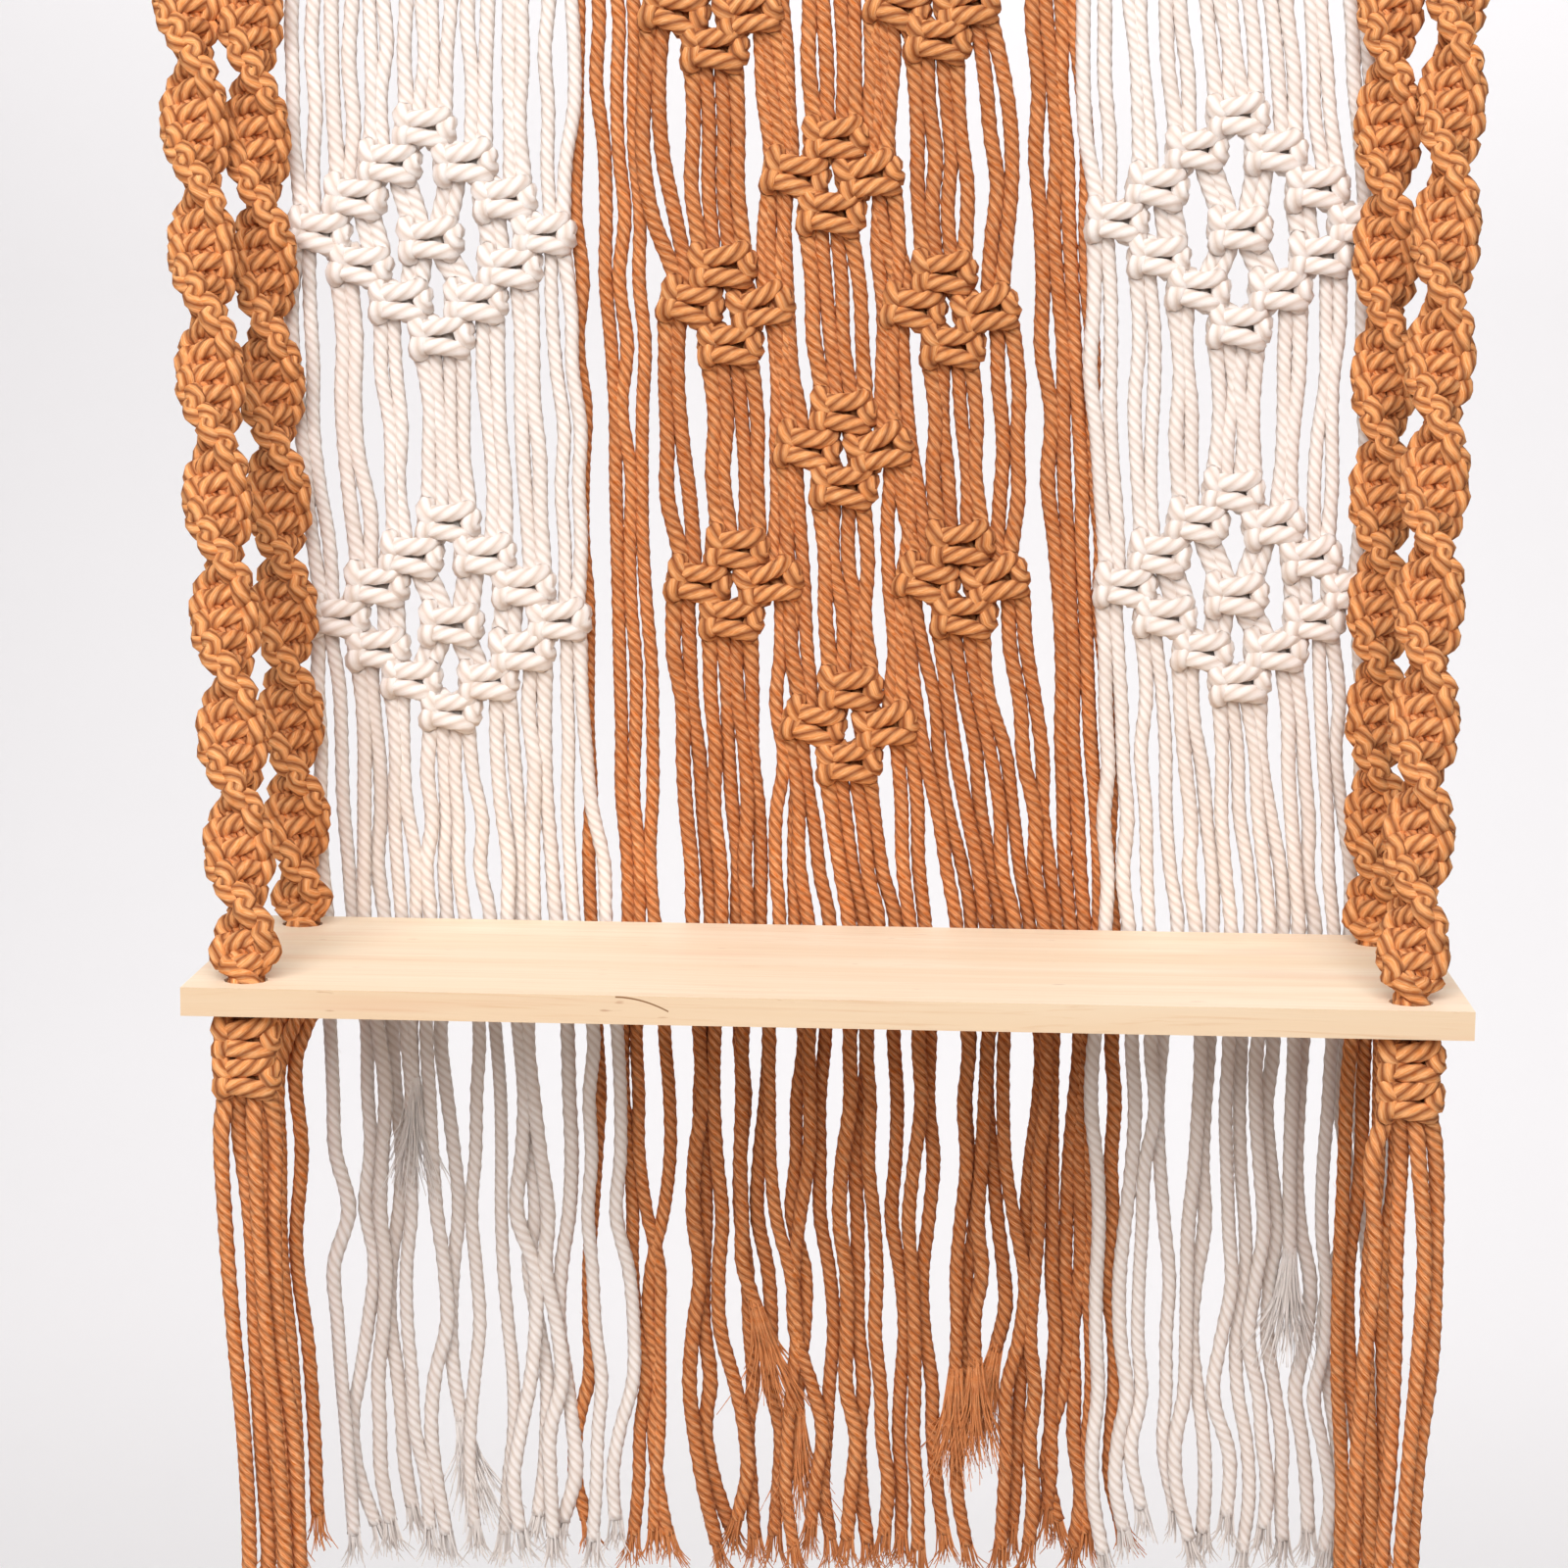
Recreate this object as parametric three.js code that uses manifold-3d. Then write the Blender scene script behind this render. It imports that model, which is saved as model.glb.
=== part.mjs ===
// Macrame wall shelf: a pine board hung on four spiral sinnets in front of a knotted panel.
// Millimetres, +Z up, front towards -Y. The origin is the middle of the top edge.
// Inside the hanging group, heights are measured from the top of the shelf board.
import * as THREE from 'three';
import { mergeVertices } from 'three/addons/utils/BufferGeometryUtils.js';
import Module from 'manifold-3d';

const wasm = await Module();
wasm.setup();

// Board
const DROP = 380; // top edge of the hanging to the top of the board
const BOARD = { width: 400, depth: 130, thickness: 9, back: -5 };
const BOARD_PARTS = 8; // equal bays along the board
const HOLE = { x: 182, front: -121, rear: -20, radius: 7, sides: 12 };

// Cord and knots
const CORD = { width: 5.2, sides: 3, rear_layer: 5.4 };
const LOOSE_CORDS = { y: 7.4, bend: 42 }; // they hang behind the knots from this far under the top edge
const KNOT = { width: 18, cord_pitch: 3.2, half_thickness: 5, back: 4, overlap: 3, inner_drop: 2.5 };
const HEADING = { height: 14, half_thickness: 5.5, gap: 0.3, margin: 0.3 };
const RIDGE = { height: 0.25, edge: 0.65, valley: 0.6, back_edge: 0.4 }; // shares of a bar's height and depth

// Spiral sinnets, four cords each
const SINNET = { half_width: 10.3, half_depth: 5.5, sides: 6, steps: 50, foot: 4 };
// Height of a sinnet's lowest half turn; each one above is taller by twice the growth
const SPIRAL = { first_pitch: 33, pitch_growth: 0.65 };
const BUNDLE = { radius: 5.8, sides: 8 };
const STOPPER = { width: 20, depth: 17, height: 20, gap: 0.3 };
const TASSEL_CORD = { sides: 4, levels: [-60, -130, -190], gathered: 0.7 };

const ORANGE = { color: 0xd08a4a, roughness: 0.92, metalness: 0 };
const CREAM = { color: 0xf0e9e0, roughness: 0.94, metalness: 0 };
const PINE = { color: 0xf3dcb6, roughness: 0.6, metalness: 0 };

// One row for each panel cord: its X at the board's top, at two levels under it and at its tip, then the
// tip's height. Every second cord hangs a layer further back, unless it is marked as a front one
const FRINGE_LEVELS = { shelf: 0, mid: -105, low: -165 };
const LEFT_TAILS = [
  { shelf: -177, mid: -170, low: -173, tip: -169, end: -231 },
  { shelf: -169, mid: -165, low: -167, tip: -162, end: -229 },
  { shelf: -164, mid: -159, low: -160, tip: -156, end: -226 },
  { shelf: -158, mid: -153, low: -154, tip: -149, end: -222 },
  { shelf: -151, mid: -148, low: -148, tip: -142, end: -228 },
  { shelf: -146, mid: -147, low: -147, tip: -147, end: -100 },
  { shelf: -141, mid: -139, low: -140, tip: -136, end: -230 },
  { shelf: -136, mid: -132, low: -134, tip: -131, end: -190 },
  { shelf: -129, mid: -127, low: -126, tip: -126, end: -227 },
  { shelf: -121, mid: -117, low: -113, tip: -116, end: -231 },
  { shelf: -114, mid: -111, low: -106, tip: -110, end: -228 },
  { shelf: -110, mid: -105, low: -101, tip: -104, end: -224 },
  { shelf: -105, mid: -100, low: -95, tip: -98, end: -230 },
  { shelf: -98, mid: -93, low: -94, tip: -95, end: -226 },
  { shelf: -91, mid: -86, low: -81, tip: -84, end: -231 },
  { shelf: -80, mid: -76, low: -70, tip: -76, end: -223, front: true },
];
const CENTRE_TAILS = [
  { shelf: -50, mid: -49, low: -50, tip: -40, end: -231 },
  { shelf: -44, mid: -45, low: -43, tip: -36, end: -226 },
  { shelf: -40, mid: -39, low: -34, tip: -33, end: -222 },
  { shelf: -35, mid: -33, low: -28, tip: -27, end: -230 },
  { shelf: -31, mid: -32, low: -27, tip: -27, end: -145 },
  { shelf: -27, mid: -27, low: -22, tip: -20, end: -229 },
  { shelf: -20, mid: -20, low: -14, tip: -13, end: -231 },
  { shelf: -15, mid: -15, low: -12, tip: -12, end: -186 },
  { shelf: -10, mid: -12, low: -7, tip: -7, end: -224 },
  { shelf: -3, mid: -5, low: -1, tip: 0, end: -230 },
  { shelf: 4, mid: 2, low: 5, tip: 6, end: -228 },
  { shelf: 9, mid: 8, low: 11, tip: 13, end: -231 },
  { shelf: 14, mid: 14, low: 17, tip: 19, end: -226 },
  { shelf: 20, mid: 20, low: 24, tip: 25, end: -229 },
  { shelf: 25, mid: 26, low: 29, tip: 31, end: -231 },
  { shelf: 30, mid: 33, low: 35, tip: 40, end: -227 },
  { shelf: 41, mid: 44, low: 43, tip: 43, end: -168 },
  { shelf: 46, mid: 49, low: 48, tip: 48, end: -231 },
  { shelf: 51, mid: 50, low: 50, tip: 50, end: -164 },
  { shelf: 56, mid: 57, low: 57, tip: 57, end: -160 },
  { shelf: 61, mid: 63, low: 61, tip: 60, end: -230 },
  { shelf: 66, mid: 67, low: 66, tip: 64, end: -225 },
  { shelf: 71, mid: 71, low: 71, tip: 70, end: -228 },
  { shelf: 75, mid: 76, low: 77, tip: 76, end: -217 },
];
const RIGHT_TAILS = [
  { shelf: 92, mid: 92, low: 93, tip: 96, end: -231 },
  { shelf: 100, mid: 101, low: 103, tip: 103, end: -222, front: true },
  { shelf: 107, mid: 107, low: 108, tip: 109, end: -214 },
  { shelf: 117, mid: 115, low: 117, tip: 121, end: -216 },
  { shelf: 123, mid: 123, low: 123, tip: 126, end: -225 },
  { shelf: 129, mid: 129, low: 128, tip: 131, end: -224 },
  { shelf: 135, mid: 137, low: 133, tip: 139, end: -216 },
  { shelf: 142, mid: 143, low: 142, tip: 145, end: -231 },
  { shelf: 148, mid: 149, low: 149, tip: 152, end: -220 },
  { shelf: 153, mid: 154, low: 155, tip: 159, end: -226 },
  { shelf: 158, mid: 158, low: 158, tip: 158, end: -122 },
  { shelf: 164, mid: 162, low: 162, tip: 168, end: -223 },
  { shelf: 170, mid: 169, low: 168, tip: 173, end: -228 },
  { shelf: 176, mid: 178, low: 174, tip: 178, end: -231 },
  { shelf: 182, mid: 184, low: 181, tip: 183, end: -226 },
  { shelf: 187, mid: 189, low: 190, tip: 189, end: -230 },
];
const LEFT_CORD_TAILS = [
  { shelf: -86, mid: -85, low: -86, tip: -87, end: -226 },
  { shelf: -73, mid: -71, low: -66, tip: -70, end: -231 },
  { shelf: -69, mid: -66, low: -61, tip: -63, end: -229 },
  { shelf: -64, mid: -60, low: -62, tip: -58, end: -231 },
];
const RIGHT_CORD_TAILS = [
  { shelf: 80, mid: 81.3, low: 81.4, tip: 80.4, end: -222 },
  { shelf: 85, mid: 86, low: 85, tip: 86, end: -231 },
  { shelf: 90, mid: 90, low: 91, tip: 90, end: -226 },
  { shelf: 95, mid: 97, low: 99, tip: 102, end: -221 },
];

// Diamonds of square knots: the middle, half sizes, how far right the bottom knot hangs of the middle,
// the first cord, and the knots along one side after the tip
const LEFT_DIAMONDS = [
  { x: -139.8, z: 234, half_width: 38, half_height: 34.5, lean: 2.8, first: 0, side: 3 },
  { x: -134, z: 104, half_width: 38, half_height: 32, lean: 0.4, first: 0, side: 3 },
];
const RIGHT_DIAMONDS = [
  { x: 130.5, z: 240, half_width: 40, half_height: 34.5, lean: 1.5, first: 0, side: 3 },
  { x: 133.5, z: 118, half_width: 38, half_height: 32, lean: 1.9, first: 0, side: 3 },
];
const CENTRE_DIAMONDS = [
  { x: -45.2, z: 307, half_width: 12.2, half_height: 12, lean: 0.3, first: 0, side: 1 },
  { x: -40.2, z: 210.5, half_width: 12.2, half_height: 13.5, lean: 1.8, first: 0, side: 1 },
  { x: -36.8, z: 117, half_width: 12.2, half_height: 12, lean: -1.1, first: 0, side: 1 },
  { x: -4.8, z: 254, half_width: 11.8, half_height: 12, lean: -0.7, first: 8, side: 1 },
  { x: 0, z: 163, half_width: 12.2, half_height: 12, lean: 0.2, first: 8, side: 1 },
  { x: 3, z: 69, half_width: 12.2, half_height: 12, lean: 0.2, first: 8, side: 1 },
  { x: 27.5, z: 310, half_width: 11.8, half_height: 11.5, lean: 2.1, first: 16, side: 1 },
  { x: 34.8, z: 210, half_width: 12.2, half_height: 12, lean: 1.6, first: 16, side: 1 },
  { x: 40.6, z: 119, half_width: 12, half_height: 12, lean: 0.6, first: 16, side: 1 },
];

// The panel from left to right; from and to are the ends of each band's heading
const BANDS = [
  { name: 'left_band', finish: CREAM, from: -186, to: -95, tails: LEFT_TAILS, diamonds: LEFT_DIAMONDS },
  { name: 'left_cords', finish: ORANGE, from: -95, to: -70, tails: LEFT_CORD_TAILS, loose: true },
  { name: 'centre_band', finish: ORANGE, from: -70, to: 56, tails: CENTRE_TAILS, diamonds: CENTRE_DIAMONDS },
  { name: 'right_cords', finish: ORANGE, from: 56, to: 76, tails: RIGHT_CORD_TAILS, loose: true },
  { name: 'right_band', finish: CREAM, from: 76, to: 167, tails: RIGHT_TAILS, diamonds: RIGHT_DIAMONDS },
];

// top: the sinnet's upper end; foot: the hole it enters; middle: height of its lowest wide part;
// shift: how far right of the hole its tassel hangs; lean: how much further right the tips hang
const SINNETS = [
  { name: 'sinnet_front_left', top: [-224, -2], foot: [-HOLE.x, HOLE.front], middle: 8, shift: 0, lean: 8 },
  { name: 'sinnet_rear_left', top: [-201, -14], foot: [-HOLE.x, HOLE.rear], middle: 4, shift: -11, lean: 7 },
  { name: 'sinnet_front_right', top: [201, -2], foot: [HOLE.x, HOLE.front], middle: 14, shift: 0, lean: -4 },
  { name: 'sinnet_rear_right', top: [177, -14], foot: [HOLE.x, HOLE.rear], middle: 7, shift: 0, lean: 2 },
];
// One row for each tassel cord: its place from the hole, and its tip's height
const TASSEL = [
  { x: -8, y: -2.5, end: -228 },
  { x: -2.6, y: 3, end: -222 },
  { x: 2.8, y: -3, end: -225 },
  { x: 8, y: 2.5, end: -218 },
];

// A path through given points, whose section keeps its width along X apart from a stated turn
class Route extends THREE.Curve {
  constructor(points, turn = () => 0) {
    super();
    this.points = points;
    this.turn = turn;
  }

  getPoint(t, target = new THREE.Vector3()) {
    const place = t * (this.points.length - 1);
    const index = Math.min(Math.floor(place), this.points.length - 2);
    return target.lerpVectors(this.points[index], this.points[index + 1], place - index);
  }

  getPointAt(u, target) {
    return this.getPoint(u, target);
  }

  computeFrenetFrames(segments) {
    const tangents = [];
    const normals = [];
    const binormals = [];
    for (let i = 0; i <= segments; i++) {
      const before = this.points[Math.max(i - 1, 0)];
      const after = this.points[Math.min(i + 1, segments)];
      const tangent = new THREE.Vector3().subVectors(after, before).normalize();
      const across = new THREE.Vector3(1, 0, 0);
      across.addScaledVector(tangent, -across.dot(tangent)).normalize();
      across.applyAxisAngle(tangent, this.turn(this.points[i]));
      tangents.push(tangent);
      normals.push(across);
      binormals.push(new THREE.Vector3().crossVectors(tangent, across));
    }
    return { tangents, normals, binormals };
  }
}

function sweep(section, points, turn) {
  const route = new Route(points, turn);
  const steps = points.length - 1;
  return new THREE.ExtrudeGeometry(section, { steps, bevelEnabled: false, extrudePath: route });
}

function ellipse(halfWidth, halfDepth, sides) {
  const corners = [];
  for (let i = 0; i < sides; i++) {
    const angle = (i / sides) * 2 * Math.PI;
    corners.push(new THREE.Vector2(halfWidth * Math.cos(angle), halfDepth * Math.sin(angle)));
  }
  return new THREE.Shape(corners);
}

// Two ridges in front, one flat side behind, extruded to the right from its left end
function ridgedBar(width, height, front, back) {
  const edge = -RIDGE.edge * front;
  const ridge = RIDGE.height * height;
  const section = new THREE.Shape([
    new THREE.Vector2(edge, -height / 2),
    new THREE.Vector2(back, -RIDGE.back_edge * height),
    new THREE.Vector2(back, RIDGE.back_edge * height),
    new THREE.Vector2(edge, height / 2),
    new THREE.Vector2(-front, ridge),
    new THREE.Vector2(-RIDGE.valley * front, 0),
    new THREE.Vector2(-front, -ridge),
  ]);
  const geometry = new THREE.ExtrudeGeometry(section, { depth: width, bevelEnabled: false });
  const along = new THREE.Matrix4().makeBasis(
    new THREE.Vector3(0, 1, 0),
    new THREE.Vector3(0, 0, 1),
    new THREE.Vector3(1, 0, 0),
  );
  geometry.applyMatrix4(along);
  return geometry;
}

function toSolid(geometry) {
  geometry.deleteAttribute('normal');
  geometry.deleteAttribute('uv');
  const merged = mergeVertices(geometry);
  const vertProperties = new Float32Array(merged.attributes.position.array);
  const triVerts = new Uint32Array(merged.index.array);
  return new wasm.Manifold(new wasm.Mesh({ numProp: 3, vertProperties, triVerts }));
}

function join(geometries) {
  return geometries.map(toSolid).reduce((whole, piece) => whole.add(piece));
}

function toMesh(name, solid, finish) {
  const { vertProperties, triVerts } = solid.getMesh();
  const geometry = new THREE.BufferGeometry();
  geometry.setAttribute('position', new THREE.BufferAttribute(vertProperties, 3));
  geometry.setIndex(new THREE.BufferAttribute(triVerts, 1));
  geometry.computeVertexNormals();
  const mesh = new THREE.Mesh(geometry, new THREE.MeshStandardMaterial(finish));
  mesh.name = name;
  return mesh;
}

// Every square knot of a diamond: its middle and the first of its four cords
function knotsOf(diamond) {
  const { x, z, half_width, half_height, lean, first, side } = diamond;
  const middle = first + 2 * side;
  const knots = [];
  for (let row = 0; row <= 2 * side; row++) {
    const out = side - Math.abs(side - row);
    const rise = (side - row) / side;
    const column = x - lean * rise;
    const height = z + half_height * rise;
    const reach = (half_width * out) / side;
    knots.push({ x: column - reach, z: height, first: middle - 2 * out });
    if (out > 0) knots.push({ x: column + reach, z: height, first: middle + 2 * out });
  }
  if (side > 1) knots.push({ x, z: z - KNOT.inner_drop, first: middle });
  return knots;
}

function knotLumps(diamond) {
  const height = diamond.half_height / diamond.side + KNOT.overlap;
  return knotsOf(diamond).map((knot) => {
    const lump = ridgedBar(KNOT.width, height, KNOT.half_thickness, KNOT.back);
    return lump.translate(knot.x - KNOT.width / 2, 0, knot.z);
  });
}

// One panel cord, from the heading through its knots, behind the board and down to its tip
function cordPoints(band, index) {
  const { from, to, tails, diamonds = [], loose } = band;
  const tail = tails[index];
  const rear = index % 2 === 1 && !tail.front;
  const knotted = rear ? CORD.rear_layer : 0;
  const layer = loose ? LOOSE_CORDS.y : knotted;
  const inset = HEADING.gap / 2 + HEADING.margin + CORD.width / 2;
  const start = from + inset + (index * (to - from - 2 * inset)) / (tails.length - 1);
  const points = [new THREE.Vector3(start, 0, DROP - HEADING.height / 2)];
  if (loose) points.push(new THREE.Vector3(start, LOOSE_CORDS.y, DROP - LOOSE_CORDS.bend));
  const knots = diamonds.flatMap(knotsOf).sort((a, b) => b.z - a.z);
  for (const knot of knots) {
    const place = index - knot.first;
    if (place < 0 || place > 3) continue;
    points.push(new THREE.Vector3(knot.x + (place - 1.5) * KNOT.cord_pitch, 0, knot.z));
  }
  points.push(new THREE.Vector3(tail.shelf, layer, FRINGE_LEVELS.shelf));
  for (const level of ['mid', 'low']) {
    if (FRINGE_LEVELS[level] > tail.end + CORD.width) {
      points.push(new THREE.Vector3(tail[level], layer, FRINGE_LEVELS[level]));
    }
  }
  points.push(new THREE.Vector3(tail.tip, layer, tail.end));
  return points;
}

function makeBand(band) {
  const cord = ellipse(CORD.width / 2, CORD.width / 2, CORD.sides);
  const { diamonds = [] } = band;
  const { height, half_thickness, gap } = HEADING;
  const heading = ridgedBar(band.to - band.from - gap, height, half_thickness, half_thickness);
  heading.translate(band.from + gap / 2, 0, DROP - height / 2);
  const cords = band.tails.map((_, index) => sweep(cord, cordPoints(band, index)));
  const lumps = diamonds.flatMap(knotLumps);
  return toMesh(band.name, join([heading, ...cords, ...lumps]), band.finish);
}

// Half turns made between the sinnet's lowest wide part and a given height
function halfTurns(height, middle) {
  const { first_pitch, pitch_growth } = SPIRAL;
  const rise = Math.max(height - middle, -first_pitch / 2);
  return (Math.sqrt(first_pitch ** 2 + 4 * pitch_growth * rise) - first_pitch) / (2 * pitch_growth);
}

function makeRibbon(sinnet) {
  const section = ellipse(SINNET.half_width, SINNET.half_depth, SINNET.sides);
  const top = new THREE.Vector3(...sinnet.top, DROP - HEADING.height / 2);
  const foot = new THREE.Vector3(...sinnet.foot, SINNET.foot);
  const points = [];
  for (let step = 0; step <= SINNET.steps; step++) {
    points.push(new THREE.Vector3().lerpVectors(foot, top, step / SINNET.steps));
  }
  return sweep(section, points, (point) => -Math.PI * halfTurns(point.z, sinnet.middle));
}

function makeSinnet(sinnet) {
  const [footX, footY] = sinnet.foot;
  const [topX, topY] = sinnet.top;
  const under = -BOARD.thickness - STOPPER.gap;
  const { height, half_thickness } = HEADING;
  const head = ridgedBar(2 * SINNET.half_width, height, half_thickness, half_thickness);
  head.translate(topX - SINNET.half_width, topY, DROP - height / 2);
  const bundle = sweep(ellipse(BUNDLE.radius, BUNDLE.radius, BUNDLE.sides), [
    new THREE.Vector3(footX, footY, under - STOPPER.height / 2),
    new THREE.Vector3(footX, footY, SINNET.foot + SINNET.half_depth),
  ]);
  const stopper = ridgedBar(STOPPER.width, STOPPER.height, STOPPER.depth / 2, STOPPER.depth / 2);
  stopper.translate(footX - STOPPER.width / 2, footY, under - STOPPER.height / 2);
  const cord = ellipse(CORD.width / 2, CORD.width / 2, TASSEL_CORD.sides);
  const strands = TASSEL.map(({ x, y, end }) => {
    const start = new THREE.Vector3(footX + TASSEL_CORD.gathered * x, footY + y, under - STOPPER.height / 2);
    const hang = footX + sinnet.shift + x;
    const levels = TASSEL_CORD.levels.map((level) => {
      const lean = sinnet.lean * (level / end);
      return new THREE.Vector3(hang + lean, footY + y, level);
    });
    const tip = new THREE.Vector3(hang + sinnet.lean, footY + y, end);
    return sweep(cord, [start, ...levels, tip]);
  });
  return toMesh(sinnet.name, join([makeRibbon(sinnet), head, bundle, stopper, ...strands]), ORANGE);
}

function makeBoard() {
  const { width, depth, thickness, back } = BOARD;
  const plank = new THREE.BoxGeometry(width, depth, thickness, BOARD_PARTS, 1, 1);
  plank.translate(0, back - depth / 2, -thickness / 2);
  let solid = toSolid(plank);
  for (const side of [-1, 1]) {
    for (const y of [HOLE.front, HOLE.rear]) {
      const drill = new THREE.CylinderGeometry(HOLE.radius, HOLE.radius, 3 * thickness, HOLE.sides);
      drill.rotateX(Math.PI / 2);
      drill.translate(side * HOLE.x, y, -thickness / 2);
      solid = solid.subtract(toSolid(drill));
    }
  }
  return toMesh('board', solid, PINE);
}

const hanging = new THREE.Group();
hanging.position.z = -DROP;
hanging.add(makeBoard());
BANDS.forEach((band) => hanging.add(makeBand(band)));
SINNETS.forEach((sinnet) => hanging.add(makeSinnet(sinnet)));

const shelf = new THREE.Group();
shelf.add(hanging);

export default shelf;
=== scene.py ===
"""Macrame wall shelf: cotton cords knotted one by one, on a pine board.

Lengths in the tables are millimetres, heights are measured from the top of the board,
and the front faces -Y. The hanging's top edge is at z = 0 in the frame.
"""

import math
import random

import bpy
import numpy as np
from mathutils import Matrix, Vector


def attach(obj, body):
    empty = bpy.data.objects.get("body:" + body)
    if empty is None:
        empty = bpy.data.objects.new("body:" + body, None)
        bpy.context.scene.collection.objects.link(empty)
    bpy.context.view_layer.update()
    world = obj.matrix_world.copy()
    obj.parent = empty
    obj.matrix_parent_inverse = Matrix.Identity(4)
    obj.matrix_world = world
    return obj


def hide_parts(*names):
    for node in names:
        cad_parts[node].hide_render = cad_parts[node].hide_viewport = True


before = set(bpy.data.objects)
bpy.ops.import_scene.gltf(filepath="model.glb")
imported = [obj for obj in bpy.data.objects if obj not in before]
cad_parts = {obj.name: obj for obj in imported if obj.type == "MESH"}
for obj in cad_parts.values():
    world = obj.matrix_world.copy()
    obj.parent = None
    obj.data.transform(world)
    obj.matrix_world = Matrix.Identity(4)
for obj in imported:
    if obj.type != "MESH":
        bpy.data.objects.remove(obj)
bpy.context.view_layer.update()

MM = 0.001
DROP = 380.0  # top edge to the top of the board
SEED = 7

BOARD_THICKNESS = 9.0
HOLE = {"x": 182.0, "front": -121.0, "rear": -20.0}

CORD_RADIUS = 2.6
# lay: length of one turn; opened: how much longer it gets in a knot; depth: share of the radius
PLIES = {"count": 4, "lay": 13.6, "opened": 0.5, "depth": 0.11}
REAR_LAYER = 5.4  # from the board down, every second cord hangs this far behind the others
LOOSE_CORD_Y = 7.4  # the loose cords hang behind the knots
INNER_KNOT_DROP = 2.5  # the knot inside a large diamond, under the diamond's middle

# Step along a cord between two rings of its mesh, as a share of the radius in which it bends,
# and no finer or longer than the next two
STEP_PER_RADIUS = 0.3
FINE_STEP = 1.45
LONG_STEP = 2.3
RING_SIDES = 8
# A cord thickens by this share where it bends as tightly as this radius, faded in over so many rings
PUFF = {"radius": 14.0, "share": 0.26, "rings": 13}

# Half turns of a sinnet with height: the first one's length and the growth of the next ones
SPIRAL = {"first_pitch": 33.0, "pitch_growth": 0.65}
HALF_KNOT_PITCH = 7.3
SPIRAL_WIDTH = 7.9  # centre of the sinnet to its side loops
SPIRAL_DEPTH = 1.7  # about two thirds of the way from the sinnet's centre to its front bars

FRAYED = 8.0  # length of a cord's end that has come undone
# A cord that ends less far under the board than this has a combed brush for an end
SHORT_TAIL = -200
# Fibres at a cord's end. length: the longest one; spread: how far out they lean for each unit of length
CUT_END = {"length": 15.0, "spread": 0.36, "strands": 26, "radius": 0.42}
BRUSH = {"length": 42.0, "spread": 0.3, "strands": 120, "radius": 0.46}
HAIRS_PER_RING = 0.07
HAIR_RADIUS = 0.06

# One row for each cord of the fringe: x at each of the three levels and at its tip, and the tip's height
TAIL_LEVELS = {"shelf": 0.0, "mid": -105.0, "low": -165.0}
TAIL_COLUMNS = ("shelf", "mid", "low", "tip", "end")
LEFT_TAILS = [
    (-177, -170, -173, -169, -231),
    (-169, -165, -167, -162, -229),
    (-164, -159, -160, -156, -226),
    (-158, -153, -154, -149, -222),
    (-151, -148, -148, -142, -228),
    (-146, -147, -147, -147, -68),
    (-141, -139, -140, -136, -230),
    (-136, -132, -134, -131, -190),
    (-129, -127, -126, -126, -227),
    (-121, -117, -113, -116, -231),
    (-114, -111, -106, -110, -228),
    (-110, -105, -101, -104, -224),
    (-105, -100, -95, -98, -230),
    (-98, -93, -94, -95, -226),
    (-91, -86, -81, -84, -231),
    (-80, -76, -70, -76, -223),
]
CENTRE_TAILS = [
    (-50, -49, -50, -40, -231),
    (-44, -45, -43, -36, -226),
    (-40, -39, -34, -33, -222),
    (-35, -33, -28, -27, -230),
    (-31, -32, -27, -27, -145),
    (-27, -27, -22, -20, -229),
    (-20, -20, -14, -13, -231),
    (-15, -15, -12, -12, -186),
    (-10, -12, -7, -7, -224),
    (-3, -5, -1, 0, -230),
    (4, 2, 5, 6, -228),
    (9, 8, 11, 13, -231),
    (14, 14, 17, 19, -226),
    (20, 20, 24, 25, -229),
    (25, 26, 29, 31, -231),
    (30, 33, 35, 40, -227),
    (41, 44, 43, 43, -168),
    (46, 49, 48, 48, -231),
    (51, 50, 50, 50, -164),
    (56, 57, 57, 57, -160),
    (61, 63, 61, 60, -230),
    (66, 67, 66, 64, -225),
    (71, 71, 71, 70, -228),
    (75, 76, 77, 76, -217),
]
RIGHT_TAILS = [
    (92, 92, 93, 96, -231),
    (100, 101, 103, 103, -222),
    (107, 107, 108, 109, -214),
    (117, 115, 117, 121, -216),
    (123, 123, 123, 126, -225),
    (129, 129, 128, 131, -224),
    (135, 137, 133, 139, -216),
    (142, 143, 142, 145, -231),
    (148, 149, 149, 152, -220),
    (153, 154, 155, 159, -226),
    (158, 158, 158, 158, -122),
    (164, 162, 162, 168, -223),
    (170, 169, 168, 173, -228),
    (176, 178, 174, 178, -231),
    (182, 184, 181, 183, -226),
    (187, 189, 190, 189, -230),
]
LEFT_CORD_TAILS = [
    (-86, -85, -86, -87, -226),
    (-73, -71, -66, -70, -231),
    (-69, -66, -61, -63, -229),
    (-64, -60, -62, -58, -231),
]
RIGHT_CORD_TAILS = [
    (80, 81, 81, 80, -222),
    (85, 86, 85, 86, -231),
    (90, 90, 91, 90, -226),
    (95, 97, 99, 102, -221),
]

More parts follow.
